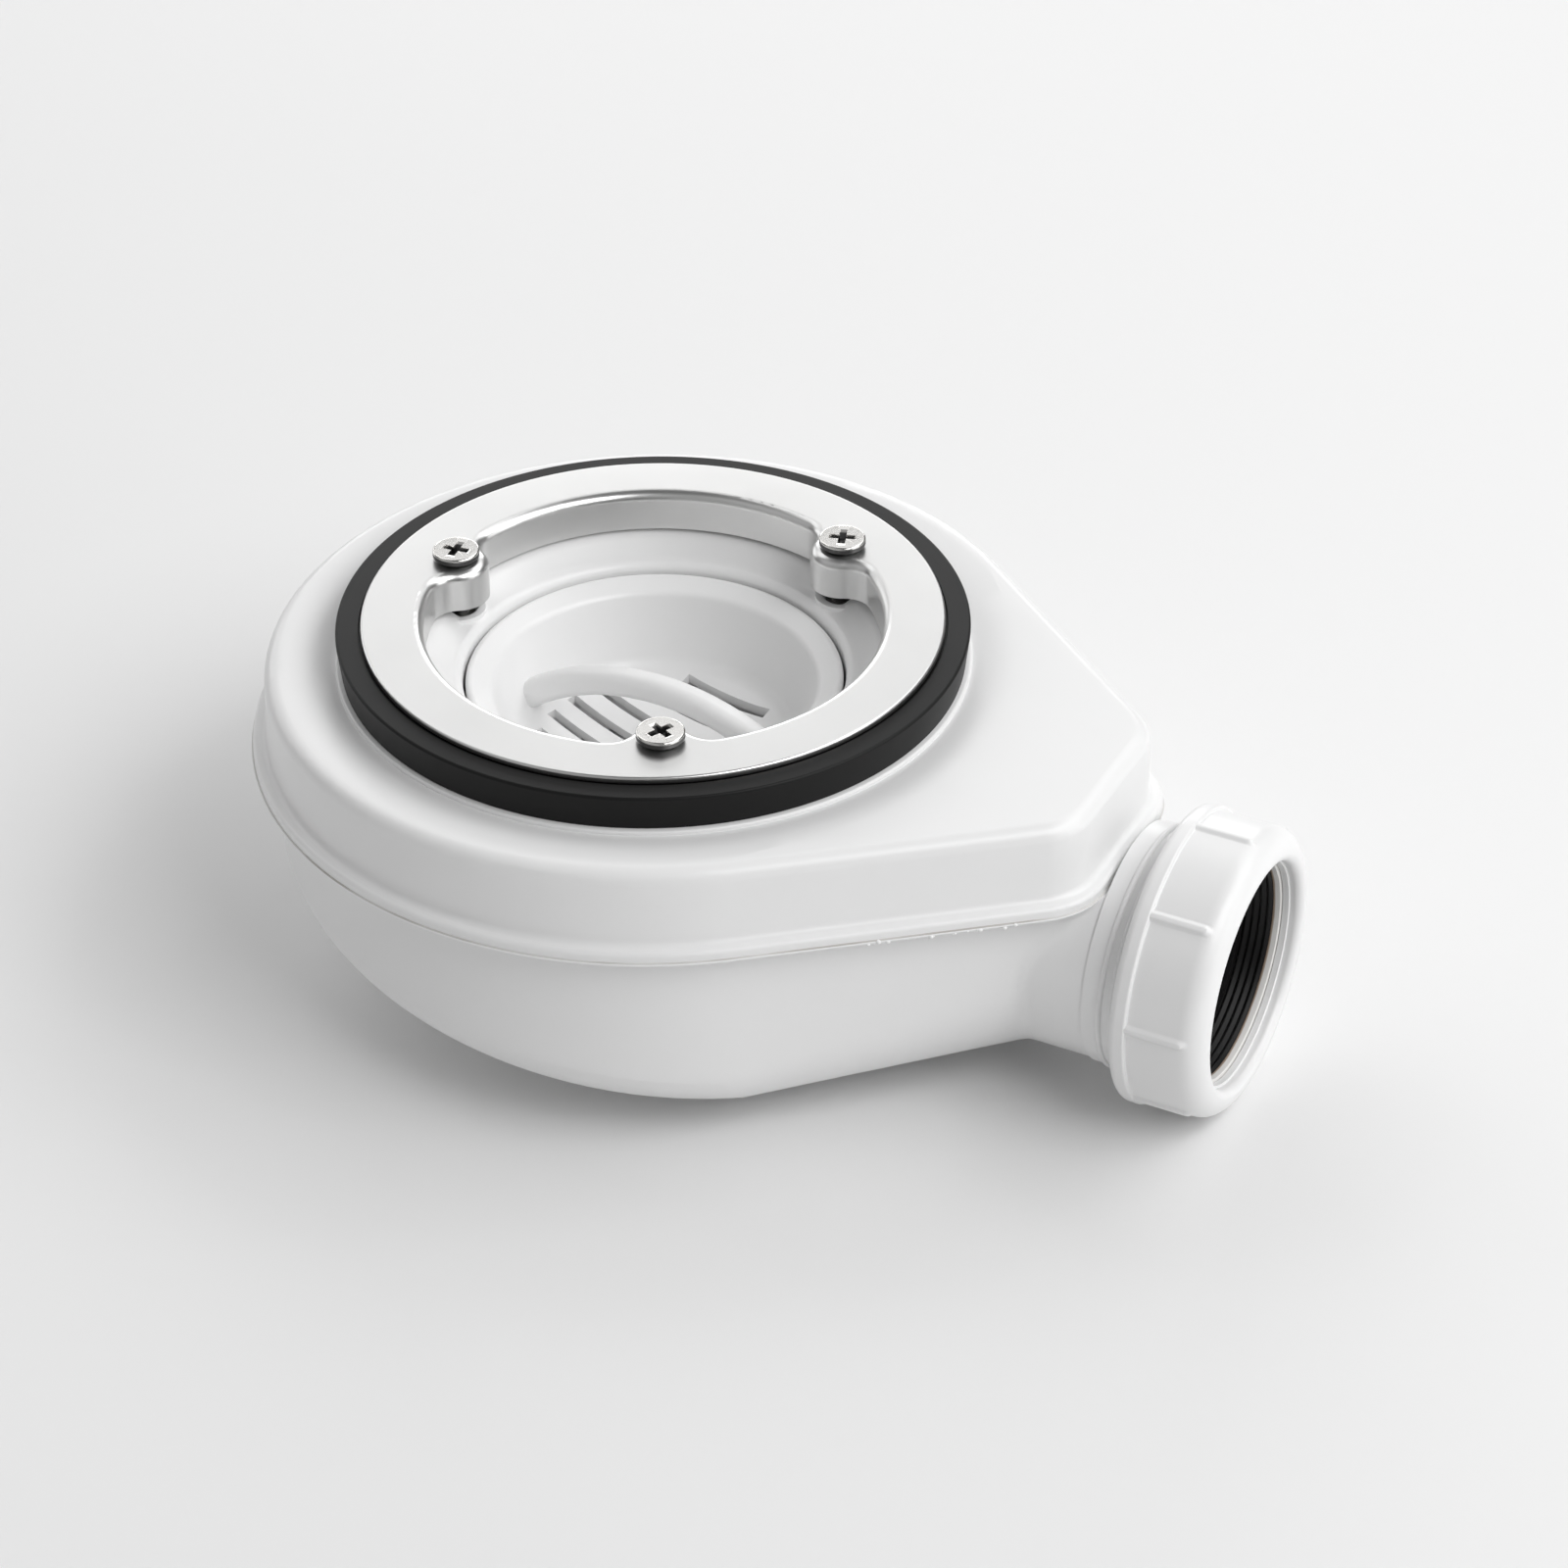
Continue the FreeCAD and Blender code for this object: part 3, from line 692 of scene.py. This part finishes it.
def make_screw():
    """One cross-head screw on the drain axis, with slightly worn edges."""
    profile = rounded([
        (SHANK_TIP_Z, 0, 0), (SHANK_TIP_Z, SHANK_R, SHANK_TIP_ROUND), (RING_TOP_Z, SHANK_R, 0),
        (RING_TOP_Z, HEAD_FOOT_R, HEAD_FOOT_ROUND), (RING_TOP_Z + HEAD_TAPER, HEAD_R, HEAD_TAPER_ROUND),
        (HEAD_TOP_Z, HEAD_R, HEAD_ROUND), (HEAD_TOP_Z, 0, 0),
    ])
    screw = turned("cross_screws", profile, around(SCREW_SIDES), on_drain)
    over = HEAD_TOP_Z + RECESS_OVERCUT
    foot = HEAD_TOP_Z - RECESS_DEPTH
    arm = (RECESS_ARM, RECESS_ARM_W / 2)
    foot_arm = (RECESS_FOOT_ARM, RECESS_FOOT_HALF_W)
    heart = rounded([
        (foot - RECESS_HEART_TIP, 0, 0), (foot, RECESS_HEART_FOOT_R, 0), (over, RECESS_HEART_R, 0), (over, 0, 0),
    ])
    carve(screw, [
        block("arm_along", foot, foot_arm, over, arm),
        block("arm_across", foot, foot_arm[::-1], over, arm[::-1]),
        turned("heart", heart, around(HEART_SIDES), on_drain),
    ])
    edges = screw.modifiers.new("worn_edges", "BEVEL")
    edges.width = WORN_EDGE_W * MM
    edges.segments = WORN_EDGE_STEPS
    edges.limit_method = "ANGLE"
    edges.angle_limit = math.radians(EDGE_ANGLE)
    make_plain(screw)
    return screw


def make_screws():
    """The screws, set out on their circle with each cross at its own turn."""
    screws = make_screw()
    count = len(SCREW_TURNS)
    turns = {"turn_%d" % (index + 1): math.radians(turn) for index, turn in enumerate(SCREW_TURNS)}
    setter = Shaper("screw_circle", screws=count, circle_radius=SCREW_CIRCLE_R * MM,
                    first_angle=math.radians(SCREW_FIRST_ANGLE), **turns)
    circle = setter.node("GeometryNodeMeshCircle", {}, {
        "Vertices": setter["screws"], "Radius": setter["circle_radius"]})
    spots = setter.moved(circle["Mesh"], Rotation=setter.vector(0.0, 0.0, setter["first_angle"]))
    choices = {str(index): setter[turn] for index, turn in enumerate(turns)}
    turn = setter.node("GeometryNodeIndexSwitch", {"data_type": "FLOAT", "choices": count}, {
        "Index": setter.node("GeometryNodeInputIndex", {}, {})["Index"], **choices})
    placed = setter.node("GeometryNodeInstanceOnPoints", {}, {
        "Points": spots, "Instance": setter["Geometry"],
        "Rotation": setter.vector(0.0, 0.0, turn["Output"])})
    setter.end(placed["Instances"])
    setter.shape(screws, FINISHES[SLOTS["clamp_screws"]])
    return screws


def make_gasket():
    """The thick rubber ring, with the groove under the steel ring's edge."""
    inner = RING_R - GASKET_GROOVE_W / 2
    outer = RING_R + GASKET_GROOVE_W / 2
    profile = rounded([
        (GASKET_FOOT_Z, GASKET_BORE_R, GASKET_BORE_ROUND), (GASKET_FOOT_Z, GASKET_FOOT_R, GASKET_FOOT_ROUND),
        (0, GASKET_R, GASKET_TOP_ROUND), (0, outer, GASKET_GROOVE_ROUND), (-GASKET_GROOVE_DEPTH, outer, 0),
        (-GASKET_GROOVE_DEPTH, inner, 0), (0, inner, GASKET_GROOVE_ROUND), (0, GASKET_BORE_R, GASKET_BORE_ROUND),
    ])
    return turned("rubber_gasket", profile, around(GASKET_SIDES), on_drain)


# Outlet

def rib_angles():
    """Turns about the outlet, close together across each rib and wider between the ribs."""
    pitch = FULL_TURN / RIB_COUNT
    edge = RIB_REACH / NUT_R
    near = [edge * step / RIB_STEPS for step in range(-RIB_STEPS, RIB_STEPS + 1)]
    gap = pitch - 2 * edge
    between = [edge + gap * step / RIB_GAP_STEPS for step in range(1, RIB_GAP_STEPS)]
    start = math.radians(RIB_TURN)
    return [start + pitch * index + turn for index in range(RIB_COUNT) for turn in near + between]


def make_nut():
    """The union nut: a turned body whose skin is raised into ribs."""
    step_x = (NUT_SKIN_END_X - NUT_SKIN_START_X) / NUT_SKIN_STEPS
    skin_xs = [NUT_SKIN_START_X + step * step_x for step in range(NUT_SKIN_STEPS + 1)]
    profile = rounded([
        (NUT_BACK_X, NUT_BORE_R, NUT_BACK_ROUND), (NUT_BACK_X, NUT_FLANGE_R, NUT_FLANGE_ROUND),
        (NUT_STEP_X, NUT_FLANGE_R, NUT_FLANGE_EDGE_ROUND), (NUT_STEP_X, NUT_R, NUT_STEP_ROUND),
        *[(x, NUT_R, 0) for x in skin_xs], (NUT_FRONT_X, NUT_R, NUT_FRONT_ROUND),
        (NUT_FRONT_X, LIP_FRONT_R, LIP_FRONT_ROUND), (LIP_STEP_X, LIP_FRONT_R, LIP_STEP_ROUND),
        (LIP_STEP_X, LIP_R, LIP_STEP_ROUND), (NUT_SHOULDER_X, LIP_R, NUT_SHOULDER_ROUND),
        (NUT_SHOULDER_X, NUT_BORE_R, 0),
    ], NUT_CORNER_STEPS)
    nut = turned("ribbed_nut", profile, rib_angles(), on_outlet)

    ribs = Shaper("nut_ribs", count=RIB_COUNT, turn=math.radians(RIB_TURN), width=RIB_W * MM, rise=RIB_RISE * MM,
                  start_x=RIB_START_X * MM, end_x=RIB_END_X * MM, skin_radius=NUT_R * MM, axis_z=OUTLET_Z * MM)
    place = ribs.axes(ribs.place())
    across = place["Y"]
    height = place["Z"] - ribs["axis_z"]
    radius = (across * across + height * height) ** 0.5
    pitch = FULL_TURN / ribs["count"]
    angle = across.combine("ARCTAN2", 0.0 - across, height) - ribs["turn"]
    rib = angle / pitch
    aside = (rib - rib.combine("ROUND", rib, 0.0)) * pitch * radius
    past = rib.combine("MAXIMUM", place["X"] - (ribs["end_x"] - 0.5 * ribs["width"]), 0.0)
    off_spine = (aside * aside + past * past) ** 0.5
    crown, foot = RIB_CROWN_SHARE * ribs["width"], RIB_FOOT_SHARE * ribs["width"]
    lift = ribs.ease(off_spine, crown, foot, ribs["rise"], 0.0)
    on_skin = (radius > RIB_SKIN_SHARE * ribs["skin_radius"]) * (place["X"] > ribs["start_x"])
    skin = lift.combine("MINIMUM", radius, ribs["skin_radius"])
    raised = lift.combine("MAXIMUM", radius, skin + lift * on_skin)
    stretch = raised / radius
    moved = ribs.vector(place["X"], across * stretch, ribs["axis_z"] + height * stretch)
    shaped = ribs.node("GeometryNodeSetPosition", {}, {"Geometry": ribs["Geometry"], "Position": moved})
    ribs.end(shaped["Geometry"])
    ribs.shape(nut, FINISHES[SLOTS["outlet_nut"]])
    return nut


def make_slide_washer():
    profile = rounded([
        (WASHER_BACK_X, WASHER_BORE_R, WASHER_ROUND), (WASHER_BACK_X, WASHER_R, WASHER_ROUND),
        (WASHER_FRONT_X, WASHER_R, WASHER_ROUND), (WASHER_FRONT_X, WASHER_BORE_R, WASHER_ROUND),
    ])
    return turned("slide_washer", profile, around(ROUND_SIDES), on_outlet)


def make_lip_seal():
    """The rubber in the outlet, with ridges in its bore, and a thin black sleeve that runs on into the spigot's
    bore as painted shade there.
    """
    front_x = WASHER_BACK_X
    pitch = (front_x - LIP_SEAL_BACK_X) / LIP_SEAL_RIDGES
    valley = LIP_SEAL_BORE_R + LIP_SEAL_RIDGE_H
    corners = [
        (SHADE_SLEEVE_END_X, SHADE_SLEEVE_BORE_R, 0), (SHADE_SLEEVE_END_X, SHADE_SLEEVE_R, 0), (LIP_SEAL_BACK_X, SHADE_SLEEVE_R, 0),
        (LIP_SEAL_BACK_X, WASHER_R, LIP_SEAL_ROUND), (front_x, WASHER_R, LIP_SEAL_ROUND), (front_x, valley, 0),
    ]
    for index in range(LIP_SEAL_RIDGES):
        x = front_x - index * pitch
        corners.append((x - pitch / 2, LIP_SEAL_BORE_R, LIP_SEAL_RIDGE_ROUND))
        corners.append((x - pitch + LIP_SEAL_VALLEY_W, valley, LIP_SEAL_VALLEY_ROUND))
    corners.append((LIP_SEAL_BACK_X + SHADE_SLEEVE_LAP, SHADE_SLEEVE_BORE_R, 0))
    return turned("lip_seal", rounded(corners), around(ROUND_SIDES), on_outlet)


# Trap body and its weld

def make_lower_shell():
    """The bowl, with the spigot's thread wound on it."""
    shell = copied("lower_shell", "trap_bowl")
    turns = (THREAD_END_X - THREAD_START_X) / THREAD_PITCH
    thread = Shaper("spigot_thread", turns=turns, pitch=THREAD_PITCH * MM, start_x=THREAD_START_X * MM,
                    start_radius=THREAD_START_R * MM, end_radius=THREAD_END_R * MM,
                    bead_radius=THREAD_BEAD_R * MM, fade=THREAD_FADE, axis_z=OUTLET_Z * MM, steps=THREAD_STEPS)
    helix = thread.node("GeometryNodeCurveSpiral", {}, {
        "Resolution": thread["steps"], "Rotations": thread["turns"], "Start Radius": thread["start_radius"],
        "End Radius": thread["end_radius"], "Height": thread["turns"] * thread["pitch"]})
    along = thread.node("GeometryNodeSplineParameter", {}, {})["Factor"]
    run_in = thread.ease(along, 0.0, thread["fade"], THREAD_FADE_SIZE, 1.0)
    sized = thread.node("GeometryNodeSetCurveRadius", {}, {"Curve": helix["Curve"], "Radius": run_in})
    bead = thread.tube(sized["Curve"], thread["bead_radius"], True)
    laid = thread.moved(bead, Rotation=(0.0, QUARTER_TURN, 0.0),
                        Translation=thread.vector(thread["start_x"], 0.0, thread["axis_z"]))
    thread.end(thread.joined(thread["Geometry"], laid))
    thread.shape(shell, FINISHES[SLOTS["lower_shell"]])
    return shell


def make_weld_seam():
    """The thin bead that the weld pressed out all round the foot of the top."""
    level = PARTING_Z * MM
    corners = frame["nodes"]["upper_shell"].data.vertices
    foot = [corner.co.xy for corner in corners if abs(corner.co.z - level) < PARTING_TOLERANCE * MM]
    outline = [(*foot[index], level) for index in convex_hull_2d(foot)]
    sides = [(index - 1, index) for index in range(1, len(outline))] + [(len(outline) - 1, 0)]
    mesh = bpy.data.meshes.new("weld_seam")
    mesh.from_pydata(outline, sides, [])
    seam = new_piece("weld_seam", mesh)
    bead = Shaper("seam_bead", bead_radius=SEAM_R * MM)
    path = bead.node("GeometryNodeMeshToCurve", {}, {"Mesh": bead["Geometry"]})
    bead.end(bead.tube(path["Curve"], bead["bead_radius"], False))
    bead.shape(seam, WELD_FINISH)
    smooth(seam, SEAM_EDGE_ANGLE)
    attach(seam, BODIES["upper_shell"])


def make_weld_beads():
    """Small beads that the weld pressed out along the parting line."""
    beads = new_piece("weld_beads", bpy.data.meshes.new("weld_beads"))
    weld = Shaper("weld_line", count=BEAD_COUNT, seed=BEAD_SEED, bead_radius=BEAD_R * MM,
                  wander=BEAD_WANDER * MM, gap_jitter=BEAD_GAP_JITTER * MM)
    start, end = [tuple(MM * value for value in point) for point in (BEADS_START, BEADS_END)]
    run = weld.node("GeometryNodeCurvePrimitiveLine", {}, {"Start": start, "End": end})
    spots = weld.node("GeometryNodeCurveToPoints", {"mode": "COUNT"}, {
        "Curve": run["Curve"], "Count": weld["count"]})
    side = (Vector(BEADS_END) - Vector(BEADS_START)).normalized()
    slide = weld.chance(-1.0, 1.0, weld["seed"]) * weld["gap_jitter"]
    rise = weld.chance(-1.0, 1.0, weld["seed"] + 1) * weld["wander"]
    size = weld.chance(BEAD_SMALLEST, BEAD_LARGEST, weld["seed"] + 2)
    strewn = weld.node("GeometryNodeSetPosition", {}, {
        "Geometry": spots["Points"], "Offset": weld.vector(side.x * slide, side.y * slide, rise)})
    ball = weld.node("GeometryNodeMeshIcoSphere", {}, {"Radius": weld["bead_radius"], "Subdivisions": 2})
    placed = weld.node("GeometryNodeInstanceOnPoints", {}, {
        "Points": strewn["Geometry"], "Instance": ball["Mesh"],
        "Scale": weld.vector(BEAD_STRETCH * size, BEAD_STRETCH * size, size)})
    weld.end(placed["Instances"])
    weld.shape(beads, FINISHES["white_plastic"])
    smooth(beads)
    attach(beads, BODIES["upper_shell"])


# Strainer

def make_strainer():
    """The lift-out insert: a soft rim and bowl, slots cut through its dish, and an arched grip across it."""
    middle = DISH_Z + DISH_R
    below = DISH_R + STRAINER_WALL
    spans = [DISH_EDGE_R * step / DISH_STEPS for step in range(DISH_STEPS)]
    dish = [(middle - math.sqrt(DISH_R ** 2 - span ** 2), span, 0) for span in spans]
    dish_edge = middle - math.sqrt(DISH_R ** 2 - DISH_EDGE_R ** 2)
    under = [(middle - math.sqrt(below ** 2 - span ** 2), span, 0) for span in [*spans, DISH_EDGE_R]]
    groove_top, groove_foot = RING_SEAL_Z + GROOVE_HALF, RING_SEAL_Z - GROOVE_HALF
    tube_r = DISH_EDGE_R + STRAINER_WALL
    profile = rounded([
        *dish, (dish_edge, DISH_EDGE_R, DISH_EDGE_ROUND), (STEP_Z, STEP_R, STEP_ROUND),
        (RIM_TOP_Z, RIM_R, RIM_TOP_ROUND), (groove_top, RIM_R, 0), (groove_top, GROOVE_R, 0),
        (groove_foot, GROOVE_R, 0), (groove_foot, RIM_R, 0), (RIM_FOOT_Z, RIM_R, 0), (RIM_FOOT_Z, RIM_FOOT_R, 0),
        (DISH_Z, tube_r, 0), (DIP_FOOT_Z, tube_r, 0), (DIP_FOOT_Z, DISH_EDGE_R, 0), *reversed(under),
    ], STRAINER_CORNER_STEPS)
    strainer = turned("strainer", profile, around(ROUND_SIDES), on_drain)
    cut_slots(strainer)
    add_grip(strainer)
    return strainer


def cut_slots(strainer):
    """Cuts the row of slots through the dish, each as long as the dish is wide there."""
    first = math.ceil((-SLOT_REACH - SLOT_OFFSET) / SLOT_PITCH)
    last = math.floor((SLOT_REACH - SLOT_OFFSET) / SLOT_PITCH)
    slots = Shaper("floor_slots", count=last - first + 1, start=(SLOT_OFFSET + first * SLOT_PITCH) * MM,
                   pitch=SLOT_PITCH * MM, width=SLOT_W * MM, reach=SLOT_REACH * MM,
                   turn=math.radians(SLOT_ANGLE), level=DISH_Z * MM, depth=SLOT_CUT_H * MM)
    row = slots.node("GeometryNodeMeshLine", {}, {
        "Count": slots["count"], "Start Location": slots.vector(0.0, slots["start"], slots["level"]),
        "Offset": slots.vector(0.0, slots["pitch"], 0.0)})
    aside = slots.axes(slots.place())["Y"]
    half = (slots["reach"] * slots["reach"] - aside * aside) ** 0.5
    cutter = slots.node("GeometryNodeMeshCube", {}, {})
    cutters = slots.node("GeometryNodeInstanceOnPoints", {}, {
        "Points": row["Mesh"], "Instance": cutter["Mesh"],
        "Scale": slots.vector(2.0 * half, slots["width"], slots["depth"])})
    turned_row = slots.moved(slots.realized(cutters["Instances"]),
                             Rotation=slots.vector(0.0, 0.0, slots["turn"]))
    slotted = slots.node("GeometryNodeMeshBoolean", {"operation": "DIFFERENCE", "solver": "EXACT"}, {
        "Mesh 1": slots["Geometry"], "Mesh 2": turned_row})
    slots.end(slotted["Mesh"])
    slots.shape(strainer, FINISHES[SLOTS["strainer_insert"]])


def add_grip(strainer):
    """Sets the arched grip across the bowl, with rounded edges."""
    grip = Shaper("grip_strap", arc_radius=(GRIP_ARC_R - GRIP_T / 2) * MM, half_arc=math.radians(GRIP_HALF_ARC),
                  width=GRIP_W * MM, thickness=GRIP_T * MM, edge_round=GRIP_ROUND * MM,
                  arc_height=(GRIP_TOP_Z - GRIP_ARC_R) * MM, steps=GRIP_STEPS)
    arc = grip.node("GeometryNodeCurveArc", {}, {
        "Resolution": grip["steps"], "Radius": grip["arc_radius"],
        "Start Angle": QUARTER_TURN - grip["half_arc"], "Sweep Angle": 2.0 * grip["half_arc"]})
    corners = grip.node("GeometryNodeCurvePrimitiveQuadrilateral", {}, {
        "Width": grip["thickness"], "Height": grip["width"]})
    section = grip.node("GeometryNodeFilletCurve", {"mode": "POLY"}, {
        "Curve": corners["Curve"], "Count": GRIP_ROUND_STEPS, "Radius": grip["edge_round"]})
    strap = grip.node("GeometryNodeCurveToMesh", {}, {
        "Curve": arc["Curve"], "Profile Curve": section["Curve"], "Fill Caps": True})
    raised = grip.moved(strap["Mesh"], Rotation=(QUARTER_TURN, 0.0, 0.0),
                        Translation=grip.vector(0.0, 0.0, grip["arc_height"]))
    grip.end(grip.joined(grip["Geometry"], raised))
    grip.shape(strainer, FINISHES[SLOTS["strainer_insert"]])


def make_ring_seal():
    profile = []
    for angle in around(RING_SEAL_SIDES):
        z = RING_SEAL_Z + RING_SEAL_R * math.sin(angle)
        profile.append((z, RING_SEAL_CENTRE_R + RING_SEAL_R * math.cos(angle)))
    return turned("ring_seal", profile, around(ROUND_SIDES), on_drain)


MADE = {
    "upper_shell": lambda: copied("upper_shell", "trap_top"),
    "lower_shell": make_lower_shell,
    "clamp_ring": lambda: copied("clamp_ring", "steel_ring"),
    "clamp_screws": make_screws,
    "screw_inserts": lambda: copied("screw_inserts", "threaded_bushes"),
    "flange_seal": make_gasket,
    "strainer_insert": make_strainer,
    "insert_oring": make_ring_seal,
    "water_cup": lambda: copied("water_cup", "trap_cup"),
    "outlet_nut": make_nut,
    "slip_washer": make_slide_washer,
    "outlet_seal": make_lip_seal,
}
for node, make in MADE.items():
    made_piece = make()
    smooth(made_piece)
    settle(made_piece, node)
make_weld_seam()
make_weld_beads()


# Floor, light and camera, in metres

FLOOR_REACH = 6.0
FLOOR_GAP = 0.2 * MM
FLOOR_TONE = 0.82
SOFTBOX_AWAY = 1.5
# Azimuth from the front and elevation in degrees, width, height, and power in watts
SOFTBOXES = {
    "right_key": (72, 45, 0.9, 0.8, 10.2),
    "right_low": (94, 14, 1.0, 0.6, 3.7),
    "right_back": (117, 45, 0.9, 0.8, 6.4),
    "back": (162, 45, 0.9, 0.8, 3.8),
    "back_low": (207, 14, 1.0, 0.6, 5.4),
    "back_left": (207, 45, 0.9, 0.8, 2.05),
    "left_low": (252, 14, 1.0, 0.6, 2.6),
    "left": (252, 45, 0.9, 0.8, 2.7),
    "front_left": (297, 45, 2.2, 1.8, 1.6),
    "front": (342, 30, 2.6, 1.7, 3.5),
}
ROOM_LIGHT = 0.1
CAMERA_PLACE = (0.3383, -0.6127, 0.4476)
CAMERA_LOOK = (-0.3716, 0.7325, -0.5706)
CAMERA_ROLL = -0.15
CAMERA_LENS_MM = 101.25
CAMERA_SENSOR_MM = 36.0
CAMERA_NEAR = 0.01


def make_floor():
    mesh = bpy.data.meshes.new("floor")
    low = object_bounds()[0][2] - FLOOR_GAP
    corners = [(FLOOR_REACH * x, FLOOR_REACH * y, low) for x, y in ((-1, -1), (1, -1), (1, 1), (-1, 1))]
    mesh.from_pydata(corners, [], [(0, 1, 2, 3)])
    floor = new_piece("floor", mesh)
    finish = Finish("pale_floor")
    finish.surface(Base_Color=(FLOOR_TONE, FLOOR_TONE, FLOOR_TONE, 1), Roughness=0.7)
    mesh.materials.append(finish.material)


def make_softbox(name, azimuth, elevation, width, height, power):
    """A soft light that faces the part."""
    lamp = bpy.data.lights.new(name, "AREA")
    lamp.shape = "RECTANGLE"
    lamp.size = width
    lamp.size_y = height
    lamp.energy = power
    light = bpy.data.objects.new(name, lamp)
    bpy.context.scene.collection.objects.link(light)
    turn, rise = math.radians(azimuth), math.radians(elevation)
    way = Vector((math.sin(turn) * math.cos(rise), -math.cos(turn) * math.cos(rise), math.sin(rise)))
    light.location = SOFTBOX_AWAY * way
    light.rotation_euler = (-way).to_track_quat("-Z", "Y").to_euler()


def make_room_light():
    world = bpy.data.worlds.new("studio")
    bpy.context.scene.world = world
    world.use_nodes = True
    background = world.node_tree.nodes["Background"]
    background.inputs["Color"].default_value = (1, 1, 1, 1)
    background.inputs["Strength"].default_value = ROOM_LIGHT
    bpy.context.scene.view_settings.view_transform = "Standard"


def make_camera():
    camera = bpy.data.objects.new("camera", bpy.data.cameras.new("camera"))
    bpy.context.scene.collection.objects.link(camera)
    camera.data.sensor_width = CAMERA_SENSOR_MM
    camera.data.lens = CAMERA_LENS_MM
    camera.data.clip_start = CAMERA_NEAR
    turn = Vector(CAMERA_LOOK).normalized().to_track_quat("-Z", "Y").to_matrix().to_4x4()
    roll = Matrix.Rotation(math.radians(CAMERA_ROLL), 4, "Z")
    camera.matrix_world = Matrix.Translation(Vector(CAMERA_PLACE)) @ turn @ roll
    bpy.context.scene.camera = camera


make_floor()
for softbox, values in SOFTBOXES.items():
    make_softbox(softbox, *values)
make_room_light()
make_camera()
